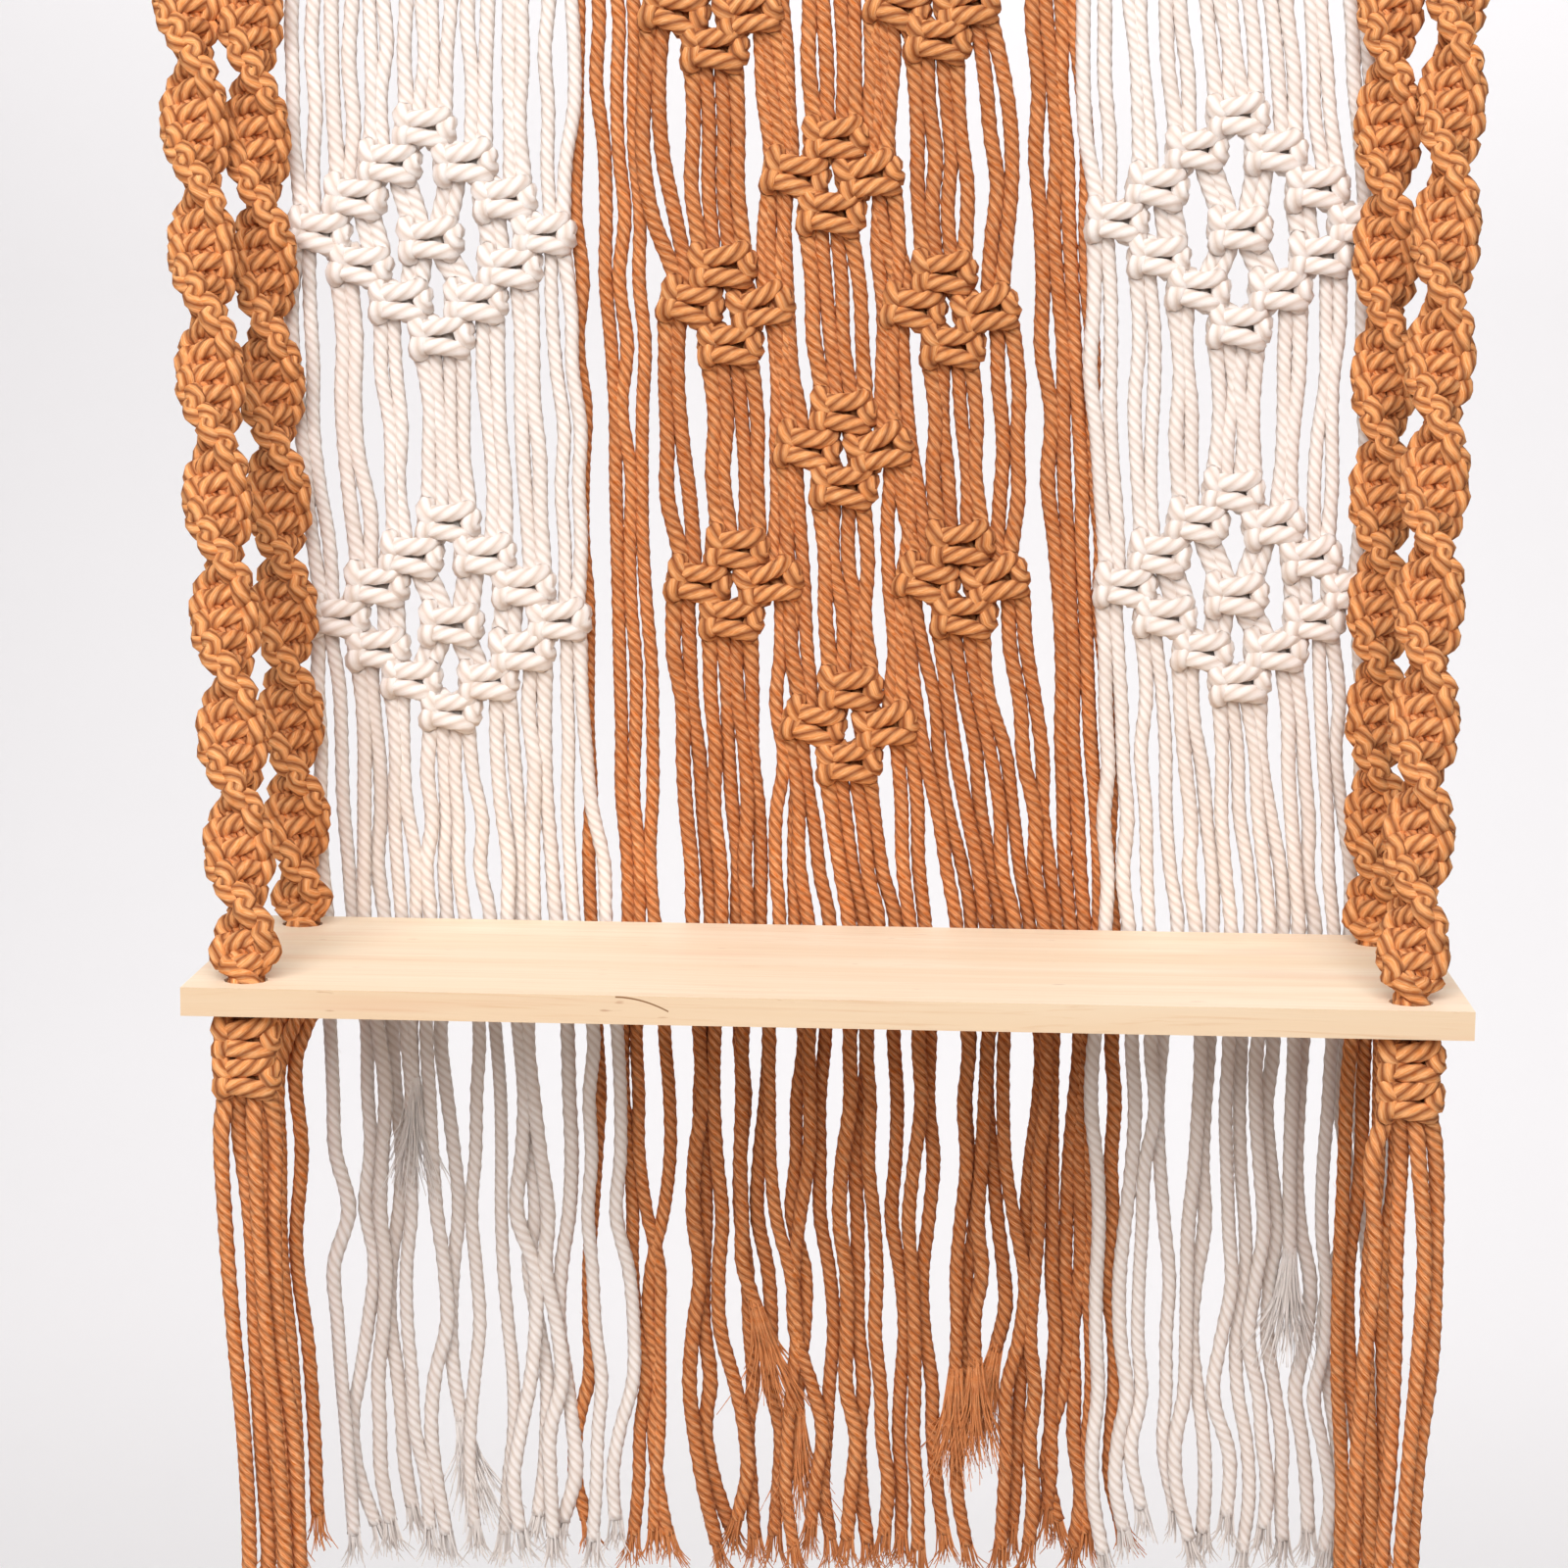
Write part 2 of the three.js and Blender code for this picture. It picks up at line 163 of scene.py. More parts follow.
# Diamonds of square knots: the middle, half sizes, how far right the bottom knot hangs of the middle,
# the first cord, and the knots along one side after the tip
DIAMOND_COLUMNS = ("x", "z", "half_width", "half_height", "lean", "first", "side")
LEFT_DIAMONDS = [
    (-139.8, 234, 38, 34.5, 2.8, 0, 3),
    (-134, 104, 38, 32, 0.4, 0, 3),
]
RIGHT_DIAMONDS = [
    (130.5, 240, 40, 34.5, 1.5, 0, 3),
    (133.5, 118, 38, 32, 1.9, 0, 3),
]
CENTRE_DIAMONDS = [
    (-45.2, 307, 12.2, 12, 0.3, 0, 1),
    (-40.2, 210.5, 12.2, 13.5, 1.8, 0, 1),
    (-36.8, 117, 12.2, 12, -1.1, 0, 1),
    (-4.8, 254, 11.8, 12, -0.7, 8, 1),
    (0, 163, 12.2, 12, 0.2, 8, 1),
    (3, 69, 12.2, 12, 0.2, 8, 1),
    (27.5, 310, 11.8, 11.5, 2.1, 16, 1),
    (34.8, 210, 12.2, 12, 1.6, 16, 1),
    (40.6, 119, 12, 12, 0.6, 16, 1),
]

# One row for each band of the panel, from left to right. start and stop: the ends of its heading;
# depth: how far behind the knots its cords hang; front: odd cords that stay in front all the way down
BAND_COLUMNS = ("node", "finish", "start", "stop", "tails", "diamonds", "depth", "front")
BANDS = [
    ("left_band", "cream_cord", -186, -95, LEFT_TAILS, LEFT_DIAMONDS, 0.0, (5, 15)),
    ("left_cords", "orange_cord", -95, -70, LEFT_CORD_TAILS, [], LOOSE_CORD_Y, ()),
    ("centre_band", "orange_cord", -70, 56, CENTRE_TAILS, CENTRE_DIAMONDS, 0.0, ()),
    ("right_cords", "orange_cord", 56, 76, RIGHT_CORD_TAILS, [], LOOSE_CORD_Y, ()),
    ("right_band", "cream_cord", 76, 167, RIGHT_TAILS, RIGHT_DIAMONDS, 0.0, (1,)),
]

# One row for each sinnet: node, top x and y, hole x and y, height of its lowest wide part
SINNETS = [
    ("sinnet_front_left", (-224, -2), (-HOLE["x"], HOLE["front"]), 8),
    ("sinnet_rear_left", (-201, -14), (-HOLE["x"], HOLE["rear"]), 4),
    ("sinnet_front_right", (201, -2), (HOLE["x"], HOLE["front"]), 14),
    ("sinnet_rear_right", (177, -14), (HOLE["x"], HOLE["rear"]), 7),
]
# One row for each tassel cord: y from the hole, tip height, and x from the hole at each of the levels
TASSEL_LEVELS = (-48.0, -80.0, -115.0, -150.0, -185.0)
TASSELS = {
    "sinnet_front_left": [
        (-3.0, -228, (-8.0, -6.5, -4.0, -2.0, -1.0)),
        (3.0, -222, (-3.5, -0.5, 1.5, 3.0, 4.0)),
        (-2.5, -225, (2.0, 4.0, 6.5, 9.5, 11.0)),
        (2.5, -218, (8.5, 7.5, 9.5, 14.0, 15.0)),
    ],
    "sinnet_rear_left": [
        (-2.5, -228, (-18.0, -18.5, -17.0, -14.0, -12.5)),
        (3.0, -222, (-13.0, -14.0, -13.0, -10.0, -8.0)),
        (-3.0, -225, (-8.0, -8.5, -7.5, -4.5, -2.5)),
        (2.5, -218, (-3.5, -1.5, -3.0, 0.5, 3.0)),
    ],
    "sinnet_front_right": [
        (-2.5, -228, (-10.5, -8.5, -10.5, -12.5, -13.5)),
        (3.0, -222, (-1.5, -2.0, -1.0, -2.0, -3.0)),
        (-3.0, -225, (4.0, 6.0, 6.0, 4.0, 2.0)),
        (2.5, -218, (9.0, 11.0, 10.5, 8.0, 6.0)),
    ],
    "sinnet_rear_right": [
        (-2.5, -228, (-8.0, -8.5, -9.0, -8.5, -5.5)),
        (3.0, -222, (-2.5, -3.0, -5.5, -3.5, 0.5)),
        (-3.0, -225, (3.0, 2.5, 0.5, 2.5, 4.5)),
        (2.5, -218, (8.0, 8.5, 6.0, 8.0, 9.0)),
    ],
}


# Paths

def smooth(points, parts=10):
    """Points of a soft curve through the given points, equally many in each span."""
    points = np.asarray(points, float)
    ends = np.vstack([2 * points[0] - points[1], points, 2 * points[-1] - points[-2]])
    gaps = np.sqrt(np.linalg.norm(np.diff(ends, axis=0), axis=1))[:, None]
    before, start, stop, after = ends[:-3], ends[1:-2], ends[2:-1], ends[3:]
    gap_in, gap, gap_out = gaps[:-2], gaps[1:-1], gaps[2:]
    slope_in = (start - before) / gap_in - (stop - before) / (gap_in + gap) + (stop - start) / gap
    slope_out = (stop - start) / gap - (after - start) / (gap + gap_out) + (after - stop) / gap_out
    slope_in = (slope_in * gap)[:, None]
    slope_out = (slope_out * gap)[:, None]
    share = (np.arange(parts) / parts)[None, :, None]
    rest = 1 - share
    bend = (
        start[:, None] * rest**2 * (1 + 2 * share)
        + slope_in * share * rest**2
        + stop[:, None] * share**2 * (3 - 2 * share)
        - slope_out * share**2 * rest
    )
    return np.vstack([bend.reshape(-1, 3), points[-1:]])


def place_rings(path):
    """Points along the path for the mesh's rings, closer together where it bends."""
    spans = np.linalg.norm(np.diff(path, axis=0), axis=1)
    keep = np.concatenate([[True], spans > 1e-6])
    path = path[keep]
    spans = np.linalg.norm(np.diff(path, axis=0), axis=1)
    heading = np.diff(path, axis=0) / spans[:, None]
    turn = np.arccos(np.clip((heading[1:] * heading[:-1]).sum(1), -1, 1))
    radius = (spans[1:] + spans[:-1]) / 2 / np.maximum(turn, 1e-4)
    step = np.clip(radius * STEP_PER_RADIUS, FINE_STEP, LONG_STEP)
    step = np.concatenate([step[:1], step, step[-1:]])
    cost = np.concatenate([[0], np.cumsum(spans * 2 / (step[1:] + step[:-1]))])
    count = max(int(math.ceil(cost[-1])), 2)
    wanted = np.linspace(0, cost[-1], count + 1)
    return np.stack([np.interp(wanted, cost, path[:, axis]) for axis in range(3)], axis=1)


def plies_opened(rings):
    """How far the plies are spread at each ring, 0 to 1: they open where the cord bends in a knot."""
    before, after = rings[:-2], rings[2:]
    chord = np.linalg.norm(after - before, axis=1)
    sag = np.linalg.norm((before + after) / 2 - rings[1:-1], axis=1)
    bend = 8 * sag / chord**2
    tight = np.clip(bend * PUFF["radius"], 0, 1)
    tight = np.concatenate([[0], tight, [0]])
    window = np.hanning(PUFF["rings"] + 2)[1:-1]
    spread = np.convolve(tight, window / window.sum(), "same")
    return np.clip(spread, 0, 1)


# Meshes made of many tubes

class Tubes:
    """Collects twisted cords and thin fibres, and turns them into one mesh."""

    def __init__(self):
        self.vertices = []
        self.triangles = []
        self.uvs = []
        self.grooves = []
        self.tones = []
        self.opens = []
        self.soft = []
        self.count = 0

    def add(self, rings, radii, sides, plies, tone, opened=0.0):
        rings = np.asarray(rings, float)
        total = len(rings)
        tangents = np.gradient(rings, axis=0)
        tangents /= np.linalg.norm(tangents, axis=1)[:, None]
        across = carry_frames(tangents)
        binormals = np.cross(tangents, across)
        steps = np.concatenate([[0], np.linalg.norm(np.diff(rings, axis=0), axis=1)])
        lengths = np.cumsum(steps)
        opened = opened * np.ones(total)
        twist = -np.cumsum(steps / (PLIES["lay"] * (1 + PLIES["opened"] * opened))) * 2 * math.pi
        around = np.arange(sides) / sides * 2 * math.pi
        lobe = np.cos(plies * around)
        shape = 1 - PLIES["depth"] / 2 * (1 - lobe)
        angles = around[None, :] + twist[:, None]
        reach = np.asarray(radii)[:, None] * shape[None, :]
        offsets = (
            (np.cos(angles) * reach)[..., None] * across[:, None]
            + (np.sin(angles) * reach)[..., None] * binormals[:, None]
        )
        wall = (rings[:, None] + offsets).reshape(-1, 3)
        self.vertices += [wall, rings[:1], rings[-1:]]
        # groove: 0 on a ply's ridge and 1 in the valley between plies; the material paints shade there
        self.grooves += [np.tile((1 - lobe) / 2, total), [0.5, 0.5]]
        # open: how far the plies are spread; the material also paints the knots lighter by it
        self.opens += [np.repeat(opened, sides), [0.0, 0.0]]
        self.tones.append(np.full(len(wall) + 2, tone))
        self.add_faces(total, sides, lengths)

    def add_faces(self, total, sides, lengths):
        base = self.count
        row = np.arange(total - 1)[:, None]
        column = np.arange(sides)[None, :]
        following = (column + 1) % sides
        a = base + row * sides + column
        b = base + row * sides + following
        c = base + (row + 1) * sides + following
        d = base + (row + 1) * sides + column
        walls = np.stack([a, b, c, a, c, d], axis=-1).reshape(-1, 3)
        u0 = np.broadcast_to(column / sides, a.shape)
        u1 = u0 + 1 / sides
        v0 = np.broadcast_to(lengths[:-1, None], a.shape)
        v1 = np.broadcast_to(lengths[1:, None], a.shape)
        uv = np.stack([u0, v0, u1, v0, u1, v1, u0, v0, u1, v1, u0, v1], axis=-1).reshape(-1, 2)
        first = base + total * sides
        last = first + 1
        column = np.arange(sides)
        following = (column + 1) % sides
        start = np.stack([np.full(sides, first), base + following, base + column], axis=1)
        foot = base + (total - 1) * sides
        end = np.stack([np.full(sides, last), foot + column, foot + following], axis=1)
        self.triangles += [walls, start, end]
        self.soft.append(np.full(len(walls) + 2 * sides, sides > 4))
        self.uvs += [uv, np.zeros((6 * sides, 2))]
        self.count = last + 1

    def add_cord(self, points, tone, thickness):
        rings = place_rings(smooth(points))
        opened = plies_opened(rings)
        radii = CORD_RADIUS * thickness * (1 + PUFF["share"] * opened)
        self.add(rings, radii, RING_SIDES, PLIES["count"], tone, opened)
        return rings

    def add_fibre(self, points, radius, tone, parts=2):
        rings = smooth(points, parts)
        radii = radius * np.linspace(1, 0.35, len(rings))
        self.add(rings, radii, 3, 0, tone)

    def make(self, name, material, node):
        mesh = bpy.data.meshes.new(name)
        vertices = np.vstack(self.vertices)
        vertices[:, 2] -= DROP
        triangles = np.vstack(self.triangles)
        mesh.from_pydata(vertices * MM, [], triangles)
        layer = mesh.uv_layers.new(name="cord")
        layer.data.foreach_set("uv", np.vstack(self.uvs).astype(np.float32).ravel())
        for label, values in (("groove", self.grooves), ("open", self.opens), ("tone", self.tones)):
            attribute = mesh.attributes.new(label, "FLOAT", "POINT")
            attribute.data.foreach_set("value", np.concatenate(values).astype(np.float32))
        mesh.polygons.foreach_set("use_smooth", np.concatenate(self.soft))
        mesh.materials.append(material)
        piece = bpy.data.objects.new(name, mesh)
        bpy.context.collection.objects.link(piece)
        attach(piece, "root")
        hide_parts(node)


def carry_frames(tangents):
    """A sideways direction at each ring, carried along the path without twist."""
    across = np.empty_like(tangents)
    first = np.cross(tangents[0], (0.0, 1.0, 0.0))
    if np.linalg.norm(first) < 0.1:
        first = np.cross(tangents[0], (1.0, 0.0, 0.0))
    current = first / np.linalg.norm(first)
    for index, tangent in enumerate(tangents):
        current = current - tangent * current.dot(tangent)
        current = current / math.sqrt(current.dot(current))
        across[index] = current
    return across


# Frayed ends

def fray(tubes, route, rng, kind, tone):
    """The loose fibres in which a cord's route ends."""
    tip = np.asarray(route[-1])
    direction = tip - np.asarray(route[-2])
    direction = direction / np.linalg.norm(direction)
    spread = kind["spread"]
    for _ in range(kind["strands"]):
        angle = rng.uniform(0, 2 * math.pi)
        start_out = CORD_RADIUS * 0.85 * math.sqrt(rng.random())
        side = np.array([math.cos(angle), math.sin(angle), 0.0])
        size = kind["length"] * rng.uniform(0.55, 1.0)
        sway = np.array([rng.gauss(0, 1), rng.gauss(0, 0.7), 0.0]) * spread * 0.4
        out = side * spread * rng.uniform(0.2, 1.0)
        start = tip + side * start_out - direction * 3.0
        middle = start + direction * (size * 0.5 + 3.0) + (out * 0.35 + sway * 0.2) * size
        end = start + direction * (size + 2.0) + (out + sway) * size
        tubes.add_fibre([start, middle, end], kind["radius"], tone + rng.uniform(-0.2, 0.2))


def fuzz(tubes, rings, rng, tone):
    """Short hairs that stand off a cord."""
    for _ in range(int(len(rings) * HAIRS_PER_RING)):
        index = rng.randrange(1, len(rings) - 1)
        along = rings[index + 1] - rings[index - 1]
        along = along / np.linalg.norm(along)
        side = np.cross(along, [rng.gauss(0, 1) for _ in range(3)])
        side = side / max(np.linalg.norm(side), 1e-6)
        start = rings[index] + side * CORD_RADIUS * 0.8
        lift = side * rng.uniform(0.5, 1.6)
        end = start + lift + along * rng.uniform(-2.5, 2.5)
        tubes.add_fibre([start, (start + end) / 2 + lift * 0.3, end], HAIR_RADIUS, tone, 1)


# Knots

# Upper half of a square knot's outer cords, from the knot's middle; the lower half mirrors it.
# The right cord makes both front bars, and the left one crosses over their ends and goes behind
RIGHT_CORD = [
    (6.6, -0.6, 5.9), (6.2, -3.6, 4.6), (3.3, -5.4, 3.6),
    (-1.5, -5.7, 2.95), (-5.0, -4.6, 2.6), (-7.2, -1.6, 1.6),
]
LEFT_CORD = [
    (-6.6, -0.8, 6.2), (-7.3, -4.0, 4.9), (-7.2, -5.7, 2.8),
    (-5.8, -4.6, 0.6), (-3.6, 2.0, 0.9), (-0.5, 4.6, 2.4),
    (4.2, 4.5, 2.6), (7.4, 2.3, 2.3), (8.3, -1.6, 2.0),
]
LEFT_CORD_LOOP = (7.3, -4.8, 0.0)  # the side loop halfway down the knot
FILLER = {"x": 2.4, "height": 4.5}  # the two middle cords run straight through the knot


def mirrored(half, middle=()):
    """A cord's way through a whole knot, from its way through the upper half."""
    return half + list(middle) + [(x, y, -z) for x, y, z in reversed(half)]


KNOT_SHAPES = [
    mirrored(LEFT_CORD, [LEFT_CORD_LOOP]),
    mirrored([(-FILLER["x"], 0.0, FILLER["height"])]),
    mirrored([(FILLER["x"], 0.0, FILLER["height"])]),
    mirrored(RIGHT_CORD),
]


def knot_path(role, place, scale=1.0, turn=0.0):
    """Points of one cord through a square knot: its four cords are 0 to 3 from the left."""
    cosine, sine = math.cos(turn), math.sin(turn)
    points = []
    for x, y, z in KNOT_SHAPES[role]:
        turned = np.array((x * cosine - z * sine, y, x * sine + z * cosine))
        points.append(np.asarray(place) + turned * scale)
    return points


def knots_of(row):
    """Every square knot of a diamond: its middle, the first of its four cords, and its side."""
    diamond = dict(zip(DIAMOND_COLUMNS, row))
    side = diamond["side"]
    middle = diamond["first"] + 2 * side
    knots = []
    for level in range(2 * side + 1):
        out = side - abs(side - level)
        rise = (side - level) / side
        column = diamond["x"] - diamond["lean"] * rise
        height = diamond["z"] + diamond["half_height"] * rise
        reach = diamond["half_width"] * out / side
        knots.append((column - reach, height, middle - 2 * out, -1 if out else 0))
        if out:
            knots.append((column + reach, height, middle + 2 * out, 1))
    if side > 1:
        knots.append((diamond["x"], diamond["z"] - INNER_KNOT_DROP, middle, 0))
    return knots


# Size of a knot against the pattern above, and how far the side knots turn, by the knots on a diamond's side
KNOT_SCALE = {1: 1.08, 3: 1.02}
KNOT_TURN = {1: 0.26, 3: 0.07}

# One cord's way up through its heading knot: share of half the cords' distance from the knot's middle,
# y, and height from the top edge. The other cord mirrors it
HEADING_KNOT = [
    (1.0, 0.2, -19.0), (1.0, -2.4, -13.5), (1.0, -4.9, -8.0), (0.9, -3.2, -3.6), (0.85, 0.8, -2.8),
    (0.85, 4.3, -5.6), (0.85, 4.0, -10.5), (0.8, 0.5, -14.0), (0.85, -5.0, -13.8), (0.5, -7.6, -10.9),
]


def heading_loop(x_left, x_right, y=0.0):
    """The heading knot between two cords of one pair, from the left cord to the right one."""
    middle = (x_left + x_right) / 2
    half = (x_right - x_left) / 2
    left = [(middle - half * out, y + depth, DROP + height) for out, depth, height in HEADING_KNOT]
    right = [(middle + half * out, y + depth, DROP + height) for out, depth, height in reversed(HEADING_KNOT)]
    return left + right


# How far the cords of each group of eight bow sideways between two diamonds
BOWS = (-7.0, -4.0, -1.0, -0.4, 0.4, 1.0, 4.0, 7.0)
INNER_BOW = 0.4  # share of it on a side that faces other cords
SMALL_BOW = 0.45  # share of it above all knots but those of the centre band at these heights
WIDE_BOWS = (170, 290)
WAVE = 4.0  # how far a fringe cord may wave to either side
CORDS_FROM = 30.0  # how far under the top edge, and its heading knots, a cord's route starts


def bow_of(index, count, rng):
    """How far a cord bows to the right between two knots."""
    place = index % 8
    outside = (index < 8 and place < 4) or (index >= count - 8 and place > 3)
    return BOWS[place] * (1.0 if outside else INNER_BOW) * rng.uniform(0.6, 1.2)


def cord_route(band, index, knots, rng):
    """Points of one panel cord, from under its heading knot to its tip."""
    count = len(band["tails"])
    tail = dict(zip(TAIL_COLUMNS, band["tails"][index]))
    rear = index % 2 == 1 and index not in band["front"]
    layer = band["depth"] or (REAR_LAYER if rear else 0.0)
    x_top = band["start"] + (index + 0.5) * (band["stop"] - band["start"]) / count
    points = [np.array((x_top, band["depth"] * 0.3, DROP - CORDS_FROM))]
    for x, y, z, first, scale, turn in knots:
        role = index - first
        if 0 <= role <= 3:
            entry = knot_path(role, (x, y, z), scale, turn)
            bow = bow_of(index, count, rng)
            if band["node"] != "centre_band" or not WIDE_BOWS[0] < z < WIDE_BOWS[1]:
                bow *= SMALL_BOW
            add_span(points, entry[0], bow, rng)
            points += entry
    shelf = np.array((tail["shelf"], layer, TAIL_LEVELS["shelf"]))
    add_span(points, shelf, 0.0, rng)
    points.append(shelf)
    for level in ("mid", "low"):
        if TAIL_LEVELS[level] > tail["end"] + FRAYED:
            bend = np.array((tail[level], layer + rng.uniform(-0.8, 0.8), TAIL_LEVELS[level]))
            add_span(points, bend, rng.uniform(-WAVE, WAVE), rng)
            points.append(bend)
    tip = np.array((tail["tip"], layer, tail["end"] + FRAYED))
    add_span(points, tip, rng.uniform(-WAVE, WAVE), rng)
    points.append(tip)
    return points


def add_span(points, stop, bow, rng):
    """Adds the points of a freely hanging stretch up to its end, bowed to one side and a little uneven."""
    start = np.asarray(points[-1])
    length = np.linalg.norm(stop - start)
    if length < 20:
        return
    count = max(int(length / 22), 1)
    for step in range(1, count + 1):
        share = step / (count + 1)
        sway = bow * math.sin(math.pi * share) + rng.uniform(-1.5, 1.5)
        points.append(start + (stop - start) * share + (sway, rng.uniform(-0.5, 0.5), 0.0))


def uneven_knots(diamonds, rng):
    """A band's knots from the top down: place, first cord, scale and turn, a little off the pattern."""
    knots = []
    for row in diamonds:
        scale, turn = KNOT_SCALE[row[-1]], KNOT_TURN[row[-1]]
        for x, z, first, side in knots_of(row):
            place = (x + rng.uniform(-0.6, 0.6), rng.uniform(-0.5, 0.5), z + rng.uniform(-0.5, 0.5))
            own_scale = scale * rng.uniform(0.96, 1.04)
            own_turn = turn * side + rng.uniform(-0.09, 0.09)
            knots.append((*place, first, own_scale, own_turn))
    knots.sort(key=lambda knot: -knot[2])
    return knots


def make_band(row, materials):
    band = dict(zip(BAND_COLUMNS, row))
    node, finish, tails = band["node"], band["finish"], band["tails"]
    rng = random.Random(f"{SEED} {node}")
    knots = uneven_knots(band["diamonds"], rng)
    tubes = Tubes()
    pitch = (band["stop"] - band["start"]) / len(tails)
    for index in range(0, len(tails), 2):
        left = cord_route(band, index, knots, rng)
        right = cord_route(band, index + 1, knots, rng)
        x_left = band["start"] + (index + 0.5) * pitch
        loop = heading_loop(x_left, x_left + pitch)
        tone = rng.uniform(0.2, 0.8)
        rings = tubes.add_cord(list(reversed(left)) + loop + right, tone, rng.uniform(0.94, 1.06))
        fuzz(tubes, rings, rng, tone)
        for route, tail in ((left, tails[index]), (right, tails[index + 1])):
            if tail[-1] > SHORT_TAIL:
                fray(tubes, route, rng, BRUSH, 0.0)
            else:
                fray(tubes, route, rng, CUT_END, tone)
    tubes.make(f"{node}_rope", materials[finish], node)


# Spiral sinnets

def half_turns(height, middle):
    """Half turns made between the sinnet's lowest wide part and a height."""
    rise = max(height - middle, -SPIRAL["first_pitch"] / 2)
    growth = SPIRAL["pitch_growth"]
    first = SPIRAL["first_pitch"]
    return (math.sqrt(first**2 + 4 * growth * rise) - first) / (2 * growth)


# One outer cord's way through one half knot: along the wide side, out to the front, and down in pitches.
# It makes the front bar, ducks under the other cord at the right side, loops to the back and over the other
# cord's next bar. The next half knot is the same seen from the back
HALF_KNOT = [
    (-0.40, 1.20, 0.10), (0.0, 1.45, 0.0), (0.40, 1.20, -0.10), (0.62, 0.45, -0.12), (0.84, -0.50, -0.08),
    (0.98, -1.30, 0.14), (1.04, -1.15, 0.50), (1.05, 0.0, 0.62), (1.04, 1.15, 0.72), (0.98, 1.40, 1.08),
    (0.80, 0.60, 1.32), (0.60, -0.40, 1.26),
]
SPIRAL_FILLER_X = 2.3
# The spiral runs from this far under the top edge to this far over the board
SINNET_ENDS = {"top": 24.0, "foot": 5.0}
HEAD_PITCH = 5.15  # between two cords in a sinnet's head


def spiral_routes(top, foot, middle):
    """Points of a sinnet's two outer and two inner cords, from its head down to the board."""
    axis_top = np.array((*top, DROP - SINNET_ENDS["top"]))
    axis_foot = np.array((*foot, SINNET_ENDS["foot"]))
    length = np.linalg.norm(axis_foot - axis_top)
    down = (axis_foot - axis_top) / length
    count = int(length / HALF_KNOT_PITCH / 2) * 2
    step = (axis_foot - axis_top) / count

    def place(across, out, pitches):
        centre = axis_top + step * min(max(pitches, 0.0), count)
        angle = -math.pi * half_turns(centre[2], middle)
        wide = np.array((math.cos(angle), math.sin(angle), 0.0))
        wide -= down * wide.dot(down)
        wide /= np.linalg.norm(wide)
        front = np.cross(down, wide)
        return centre + wide * across * SPIRAL_WIDTH + front * out * SPIRAL_DEPTH

    outer = [[], []]
    for number in (0, 1):
        for start in range(-2, count + 1):
            side = 1 if (start + number) % 2 == 0 else -1
            for across, out, pitches in HALF_KNOT:
                if 0 <= start + pitches <= count:
                    outer[number].append(place(side * across, side * out, start + pitches))
    inner = []
    for side in (-1, 1):
        across = side * SPIRAL_FILLER_X / SPIRAL_WIDTH
        inner.append([place(across, 0.0, pitches) for pitches in range(count + 1)])
    return outer, inner


# Heights of the stopper's square knots under a front and a rear hole
STOPPER_ROWS = {HOLE["front"]: (-18.0, -30.0), HOLE["rear"]: (-17.0,)}
# X and y of the four cords in a hole, from its centre
BUNDLE_PLACES = [(-2.7, -2.7), (-2.7, 2.7), (2.7, 2.7), (2.7, -2.7)]


def tassel_route(node, foot, role, rng):
    """Points of one sinnet cord from the hole through the stopper knot to its tip."""
    x, y = foot
    bundle = BUNDLE_PLACES[role]
    points = [(x + bundle[0], y + bundle[1], height) for height in (-1.0, -BOARD_THICKNESS + 1.0)]
    for height in STOPPER_ROWS[y]:
        points += knot_path(role, (x, y, height))
    depth, end, columns = TASSELS[node][role]
    for level, out in zip(TASSEL_LEVELS, columns):
        points.append((x + out + rng.uniform(-0.7, 0.7), y + depth + rng.uniform(-0.8, 0.8), level))
    points.append((x + columns[-1], y + depth, end + FRAYED))
    return points


def make_sinnet(row, materials):
    node, top, foot, middle = row
    rng = random.Random(f"{SEED} {node}")
    outer, inner = spiral_routes(top, foot, middle)
    tubes = Tubes()
    places = [top[0] + HEAD_PITCH * offset for offset in (-1.5, -0.5, 0.5, 1.5)]
    bodies = [outer[0], inner[0], inner[1], outer[1]]
    routes = []
    for role in range(4):
        tail = tassel_route(node, foot, role, rng)
        routes.append(list(bodies[role]) + tail)
    for left, right in ((0, 1), (2, 3)):
        # Painted light: the sinnets' cords get the lowest tones, so they come out lighter than the panel's,
        # as they are lit more strongly
        tone = rng.uniform(0.0, 0.2)
        loop = heading_loop(places[left], places[right], top[1])
        path = list(reversed(routes[left])) + loop + routes[right]
        rings = tubes.add_cord(path, tone, 1.0)
        fuzz(tubes, rings, rng, tone)
        for route in (routes[left], routes[right]):
            fray(tubes, route, rng, CUT_END, tone)
    tubes.make(f"{node}_rope", materials["orange_cord"], node)


# Materials

def new_material(name):
    material = bpy.data.materials.new(name)
    material.use_nodes = True
    tree = material.node_tree
    shader = tree.nodes["Principled BSDF"]
    return material, tree, shader


def add_node(tree, kind, **settings):
    node = tree.nodes.new(kind)
    for name, value in settings.items():
        setattr(node, name, value)
    return node


def noise(tree, vector, scale, detail=3.0, rough=0.55):
    node = add_node(tree, "ShaderNodeTexNoise")
    node.inputs["Scale"].default_value = scale
    node.inputs["Detail"].default_value = detail
    node.inputs["Roughness"].default_value = rough
    tree.links.new(vector, node.inputs["Vector"])
    return node.outputs["Fac"]


def spread_range(tree, value, low, high, to_low, to_high):
    node = add_node(tree, "ShaderNodeMapRange")
    node.inputs["From Min"].default_value = low
    node.inputs["From Max"].default_value = high
    node.inputs["To Min"].default_value = to_low
    node.inputs["To Max"].default_value = to_high
    tree.links.new(value, node.inputs["Value"])
    return node.outputs["Result"]


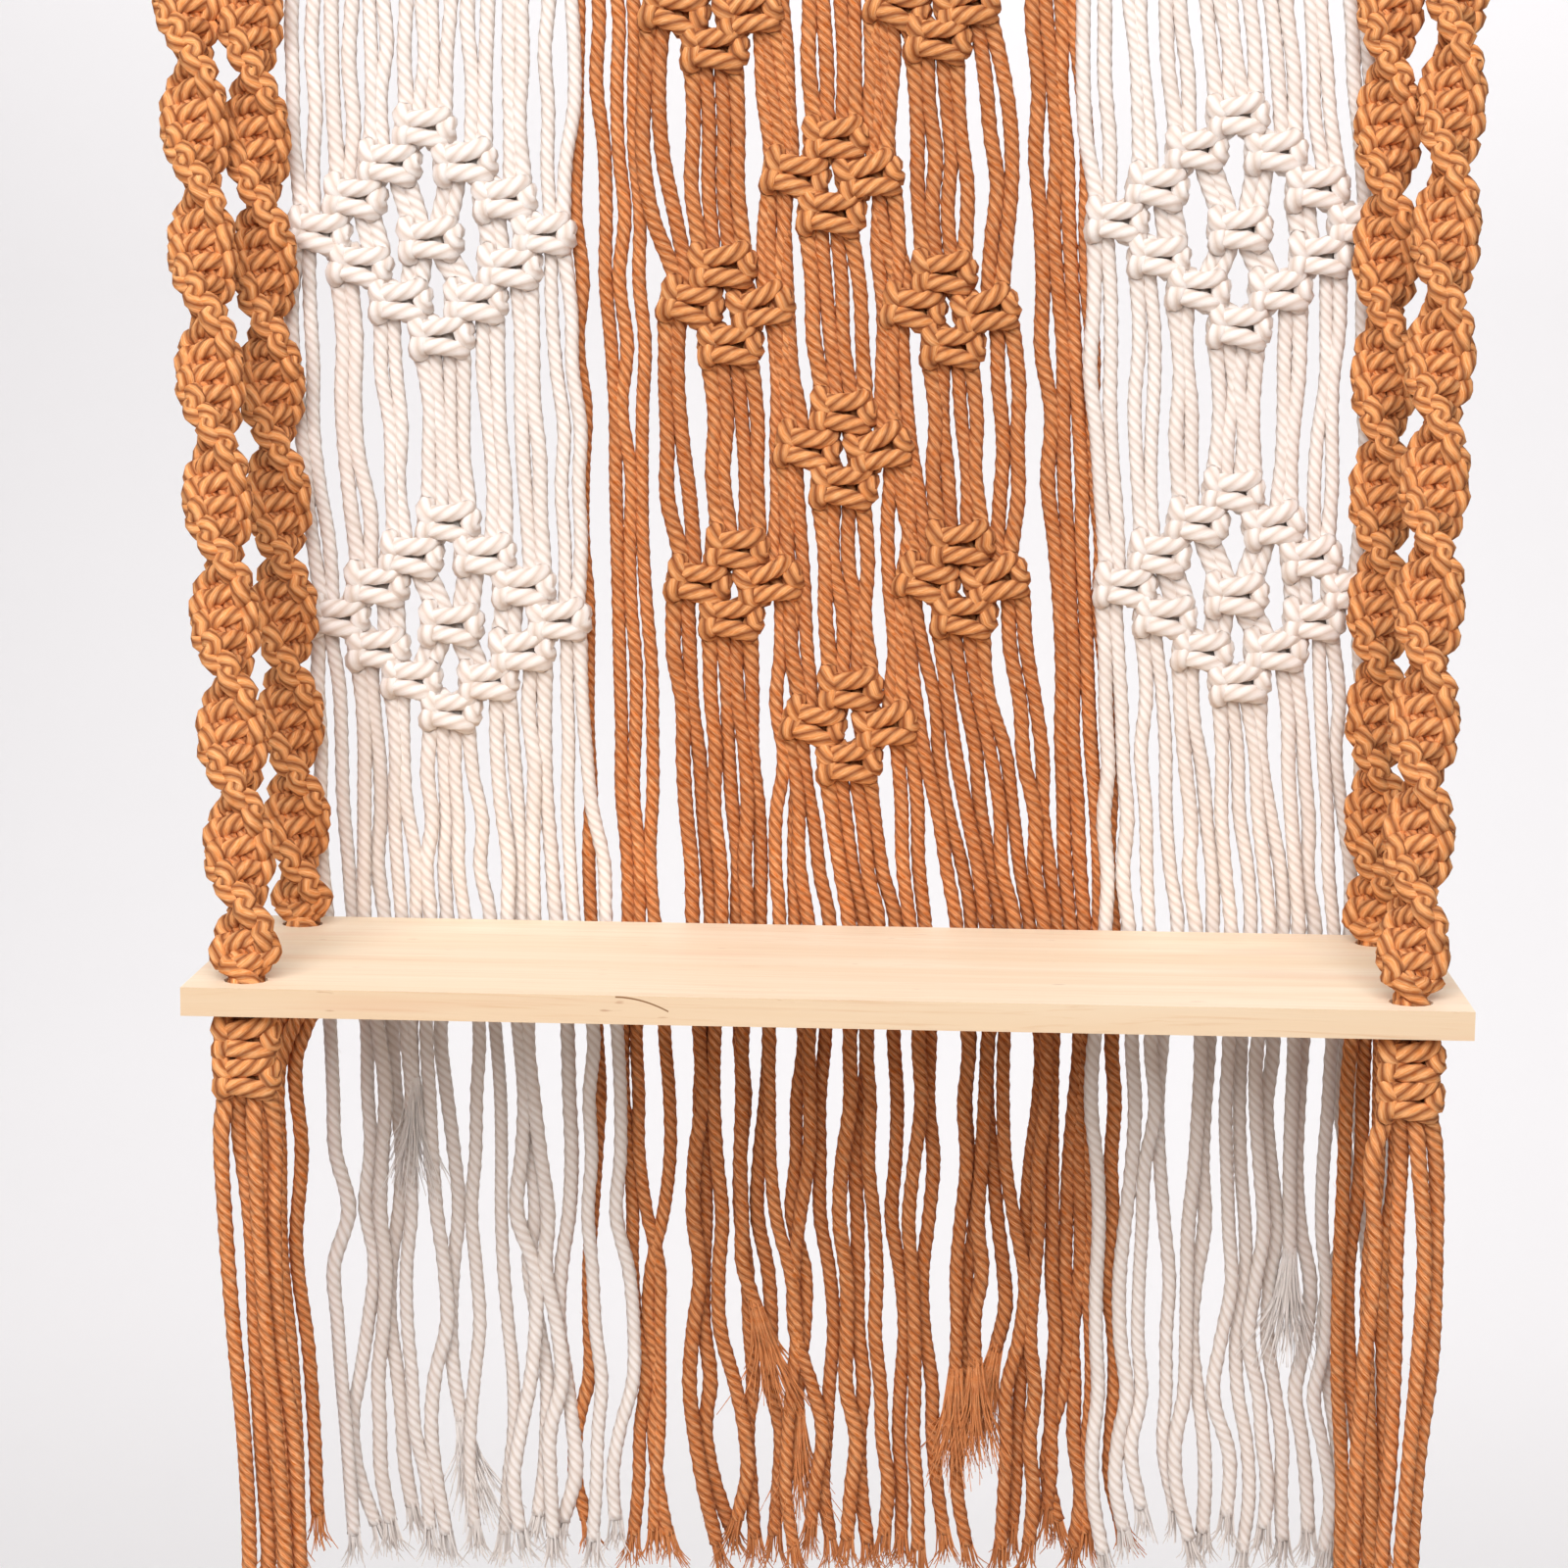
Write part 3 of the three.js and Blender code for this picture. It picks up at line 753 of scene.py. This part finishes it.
def mix_colour(tree, share, first, second, blend="MIX"):
    node = add_node(tree, "ShaderNodeMix", data_type="RGBA", blend_type=blend)
    for socket, value in ((node.inputs[0], share), (node.inputs[6], first), (node.inputs[7], second)):
        if isinstance(value, (int, float)):
            socket.default_value = value
        elif isinstance(value, tuple):
            socket.default_value = (*value, 1.0)
        else:
            tree.links.new(value, socket)
    return node.outputs[2]


def scaled(tree, vector, scale):
    node = add_node(tree, "ShaderNodeMapping")
    node.inputs["Scale"].default_value = scale
    tree.links.new(vector, node.inputs["Vector"])
    return node.outputs["Vector"]


def linear(red, green, blue):
    """A colour as a screen shows it, 0 to 255, in the renderer's own scale."""
    return tuple((value / 255) ** 2.2 for value in (red, green, blue))


def maths(tree, operation, first, second):
    node = add_node(tree, "ShaderNodeMath", operation=operation)
    for socket, value in zip(node.inputs, (first, second)):
        if isinstance(value, (int, float)):
            socket.default_value = value
        else:
            tree.links.new(value, socket)
    return node.outputs["Value"]


def add_bump(tree, shader, height, strength, distance):
    bump = add_node(tree, "ShaderNodeBump")
    bump.inputs["Strength"].default_value = strength
    bump.inputs["Distance"].default_value = distance
    tree.links.new(height, bump.inputs["Height"])
    tree.links.new(bump.outputs["Normal"], shader.inputs["Normal"])


# Colours of each rope as a screen shows them: its lightest threads, partly painted sheen; its body; its
# darkest dye, which also paints the shade in the grooves between its plies; and the painted light on the
# plies that a knot opens
COTTON = {
    "orange_cord": [(255, 204, 152), (208, 105, 32), (92, 20, 0), (250, 188, 122)],
    "cream_cord": [(252, 247, 244), (236, 227, 221), (200, 178, 162), (238, 232, 228)],
}


def cord_material(slot):
    """Twisted cotton: light threads, partly painted sheen; painted shade in the grooves between the plies;
    and painted light where a knot opens them.
    """
    light, middle, dark_dye_and_groove_shade, opened = (linear(*colour) for colour in COTTON[slot])
    material, tree, shader = new_material(slot.replace("_cord", " cotton"))
    uv = add_node(tree, "ShaderNodeUVMap", uv_map="cord").outputs["UV"]
    fibre = noise(tree, scaled(tree, uv, (34.0, 0.35, 1.0)), 1.0, 4.0, 0.7)
    patch = noise(tree, scaled(tree, uv, (1.5, 0.05, 1.0)), 1.0, 2.0, 0.5)
    tone = add_node(tree, "ShaderNodeAttribute", attribute_name="tone").outputs["Fac"]
    groove = add_node(tree, "ShaderNodeAttribute", attribute_name="groove").outputs["Fac"]
    openness = add_node(tree, "ShaderNodeAttribute", attribute_name="open").outputs["Fac"]
    # The lightest threads are partly the fibres' own colour and partly painted sheen: their whitish colour
    # stands in for the sheen of fuzzy cotton
    body = mix_colour(tree, spread_range(tree, fibre, 0.38, 0.74, 0.0, 1.0), middle, light)
    shifted = mix_colour(tree, spread_range(tree, tone, 0.0, 1.0, 0.0, 0.32), body, dark_dye_and_groove_shade)
    mottled = mix_colour(tree, spread_range(tree, patch, 0.35, 0.75, 0.0, 0.25), shifted, dark_dye_and_groove_shade)
    # Painted light: where a knot bends the cord, its colour is mixed toward a paler one, as the knots face
    # the light
    pale = mix_colour(tree, spread_range(tree, openness, 0.0, 1.0, 0.0, 0.3), mottled, opened)
    # Painted shade: the grooves between the plies are mixed toward the dark dye, a little more where a knot
    # opens them
    groove_shade_strength = spread_range(tree, openness, 0.0, 1.0, 0.62, 0.8)
    depth = maths(tree, "MULTIPLY", spread_range(tree, groove, 0.25, 1.0, 0.0, 1.0), groove_shade_strength)
    tree.links.new(mix_colour(tree, depth, pale, dark_dye_and_groove_shade), shader.inputs["Base Color"])
    shader.inputs["Roughness"].default_value = 0.85
    shader.inputs["Specular IOR Level"].default_value = 0.05
    shader.inputs["Sheen Weight"].default_value = 0.02
    shader.inputs["Sheen Roughness"].default_value = 0.4
    add_bump(tree, shader, fibre, 0.7, 0.0004)
    return material


# The crack in the board's front edge: where it starts and ends along X, and how far it falls, in millimetres
CRACK = {"from": -64.2, "to": -47.7, "top": -0.4, "fall": 4.3, "half_width": 0.35}
# The front edge against the top: warmer by its own grain, and darker by painted shade, as the top gets more
# light
EDGE_GRAIN_AND_SHADE = (0.72, 0.64, 0.57)  # the front edge against the top


def crack_mask(tree, place, front):
    """1 on the crack's line and 0 off it."""
    split = add_node(tree, "ShaderNodeSeparateXYZ")
    tree.links.new(place, split.inputs[0])
    along = spread_range(tree, split.outputs["X"], CRACK["from"] * MM, CRACK["to"] * MM, 0.0, 1.0)
    fall = maths(tree, "MULTIPLY", maths(tree, "POWER", along, 2.0), CRACK["fall"] * MM)
    line = maths(tree, "SUBTRACT", (CRACK["top"] - DROP) * MM, fall)
    off = maths(tree, "ABSOLUTE", maths(tree, "SUBTRACT", split.outputs["Z"], line), 0.0)
    near = spread_range(tree, off, CRACK["half_width"] * MM / 2, CRACK["half_width"] * MM, 1.0, 0.0)
    begun = maths(tree, "GREATER_THAN", along, 0.0)
    unfinished = maths(tree, "LESS_THAN", along, 1.0)
    inside = maths(tree, "MULTIPLY", begun, unfinished)
    return maths(tree, "MULTIPLY", maths(tree, "MULTIPLY", near, inside), front)


def pine_material():
    """Planed pine with its grain along X; the front edge is warmer by its own grain and darker by painted
    shade, and has a small crack.
    """
    material, tree, shader = new_material("pine")
    surface = add_node(tree, "ShaderNodeNewGeometry")
    place = surface.outputs["Position"]
    facing = add_node(tree, "ShaderNodeSeparateXYZ")
    tree.links.new(surface.outputs["Normal"], facing.inputs[0])
    front = spread_range(tree, facing.outputs["Y"], -0.9, -0.5, 1.0, 0.0)
    waver = noise(tree, scaled(tree, place, (3.0, 14.0, 14.0)), 1.0, 2.0, 0.5)
    bend = add_node(tree, "ShaderNodeVectorMath", operation="MULTIPLY_ADD")
    tree.links.new(waver, bend.inputs[0])
    bend.inputs[1].default_value = (0.0, 0.03, 0.03)
    tree.links.new(place, bend.inputs[2])
    bent = bend.outputs["Vector"]
    rings = noise(tree, scaled(tree, bent, (1.6, 75.0, 75.0)), 1.0, 3.0, 0.6)
    fine = noise(tree, scaled(tree, bent, (14.0, 800.0, 800.0)), 1.0, 3.0, 0.6)
    blush = noise(tree, scaled(tree, place, (6.0, 30.0, 160.0)), 1.0, 2.0, 0.5)
    speck = noise(tree, scaled(tree, place, (90.0, 500.0, 500.0)), 1.0, 1.0, 0.5)
    base = mix_colour(
        tree, spread_range(tree, rings, 0.35, 0.7, 0.0, 1.0), linear(247, 231, 206), linear(241, 216, 184)
    )
    lined = mix_colour(tree, spread_range(tree, fine, 0.56, 0.78, 0.0, 0.45), base, linear(222, 176, 136))
    blushed = mix_colour(tree, spread_range(tree, blush, 0.56, 0.78, 0.0, 0.5), lined, linear(232, 182, 152))
    specked = mix_colour(tree, spread_range(tree, speck, 0.76, 0.82, 0.0, 0.5), blushed, linear(170, 112, 78))
    # Partly painted shade: the front edge is multiplied darker than the top, and warmer as its grain is
    edge_grain_and_shade = mix_colour(tree, front, specked, mix_colour(tree, 1.0, specked, EDGE_GRAIN_AND_SHADE, "MULTIPLY"))
    cracked = mix_colour(tree, crack_mask(tree, place, front), edge_grain_and_shade, linear(128, 92, 62))
    tree.links.new(cracked, shader.inputs["Base Color"])
    shader.inputs["Roughness"].default_value = 0.6
    shader.inputs["Specular IOR Level"].default_value = 0.25
    add_bump(tree, shader, fine, 0.25, 0.0003)
    return material


def dress_board(material):
    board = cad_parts["board"]
    board.data.materials.clear()
    board.data.materials.append(material)
    bevel = board.modifiers.new("eased edges", "BEVEL")
    bevel.width = 0.0007
    bevel.segments = 2
    bevel.limit_method = "ANGLE"
    bevel.angle_limit = math.radians(40)


# Camera, light and stage

# The camera that the board's corners give, in pixels of the photo; its place, in millimetres; degrees
CAMERA = {"focal_pixels": 3800.0, "picture_pixels": 1600.0, "sensor": 36.0}
CAMERA_PLACE = (40.2, -1263.0, 225.3)
CAMERA_ANGLES = {"down": 7.98, "left": 2.68, "roll": 0.57}


def make_camera():
    data = bpy.data.cameras.new("camera")
    data.sensor_width = CAMERA["sensor"]
    data.lens = CAMERA["sensor"] * CAMERA["focal_pixels"] / CAMERA["picture_pixels"]
    data.clip_start = 0.05
    data.clip_end = 50.0
    camera = bpy.data.objects.new("camera", data)
    bpy.context.collection.objects.link(camera)
    down, left, roll = (math.radians(CAMERA_ANGLES[name]) for name in ("down", "left", "roll"))
    forward = Vector((-math.sin(left) * math.cos(down), math.cos(left) * math.cos(down), -math.sin(down)))
    right = Vector((math.cos(left), math.sin(left), 0.0))
    up = right.cross(forward)
    turned_right = math.cos(roll) * right + math.sin(roll) * up
    turned_up = math.cos(roll) * up - math.sin(roll) * right
    x, y, z = CAMERA_PLACE
    placed = Matrix((turned_right, turned_up, -forward)).transposed().to_4x4()
    placed.translation = Vector((x, y, z - DROP)) * MM
    camera.matrix_world = placed
    bpy.context.scene.camera = camera


# One row for each light: name, place, what it points at, its two sides, and its power; metres and watts
LIGHTS = [
    ("key", (-0.2, -1.9, 0.75), (0.0, 0.0, -0.35), (1.7, 1.3), 59.0),
    ("top", (0.0, -0.7, 1.6), (0.0, -0.05, -0.4), (1.2, 0.9), 9.0),
    ("backdrop", (0.2, 2.4, 2.6), (0.2, 4.0, 0.5), (4.0, 1.0), 95.0),
]


def make_light(name, place, aim, size, power):
    data = bpy.data.lights.new(name, "AREA")
    data.shape = "RECTANGLE"
    data.size, data.size_y = size
    data.energy = power
    light = bpy.data.objects.new(name, data)
    light.location = place
    light.rotation_euler = (Vector(aim) - Vector(place)).to_track_quat("-Z", "Y").to_euler()
    bpy.context.collection.objects.link(light)


def floor_material():
    """Pale grey with painted shade: a little darker on the floor near the shelf than on the backdrop."""
    material, tree, shader = new_material("pale floor")
    split = add_node(tree, "ShaderNodeSeparateXYZ")
    tree.links.new(add_node(tree, "ShaderNodeNewGeometry").outputs["Position"], split.inputs[0])
    # Painted shade: darker towards the camera, lighter towards the backdrop
    depth = spread_range(tree, split.outputs["Y"], 1.3, 3.6, 0.0, 1.0)
    painted_floor_shade = mix_colour(tree, depth, linear(230, 228, 228), linear(248, 246, 247))
    tree.links.new(painted_floor_shade, shader.inputs["Base Color"])
    shader.inputs["Roughness"].default_value = 0.9
    return material


# In metres. near and far: its ends along y; bend: radius of the curve up into the backdrop
STAGE = {"floor_z": -1.4, "near": -3.0, "far": 4.2, "half_width": 6.0, "top": 5.0, "bend": 1.2, "steps": 12}


def make_stage():
    """A pale floor that curves up into a backdrop far behind the shelf."""
    floor_z, far, bend, steps = (STAGE[key] for key in ("floor_z", "far", "bend", "steps"))
    profile = [(STAGE["near"], floor_z), (far - bend, floor_z)]
    for index in range(1, steps + 1):
        angle = index / steps * math.pi / 2
        profile.append((far - bend + bend * math.sin(angle), floor_z + bend - bend * math.cos(angle)))
    profile.append((far, STAGE["top"]))
    half_width = STAGE["half_width"]
    vertices = [(x, y, z) for y, z in profile for x in (-half_width, half_width)]
    faces = [(2 * i, 2 * i + 1, 2 * i + 3, 2 * i + 2) for i in range(len(profile) - 1)]
    mesh = bpy.data.meshes.new("floor")
    mesh.from_pydata(vertices, [], faces)
    mesh.shade_smooth()
    mesh.materials.append(floor_material())
    floor = bpy.data.objects.new("floor", mesh)
    bpy.context.collection.objects.link(floor)


def make_world():
    world = bpy.data.worlds.new("studio")
    bpy.context.scene.world = world
    world.use_nodes = True
    background = world.node_tree.nodes["Background"]
    background.inputs["Color"].default_value = (1.0, 0.97, 0.97, 1.0)
    background.inputs["Strength"].default_value = 0.25
    bpy.context.scene.view_settings.view_transform = "Standard"


make_camera()
ropes = {slot: cord_material(slot) for slot in COTTON}
for band_row in BANDS:
    make_band(band_row, ropes)
for sinnet_row in SINNETS:
    make_sinnet(sinnet_row, ropes)
dress_board(pine_material())
make_stage()
make_world()
for light_row in LIGHTS:
    make_light(*light_row)
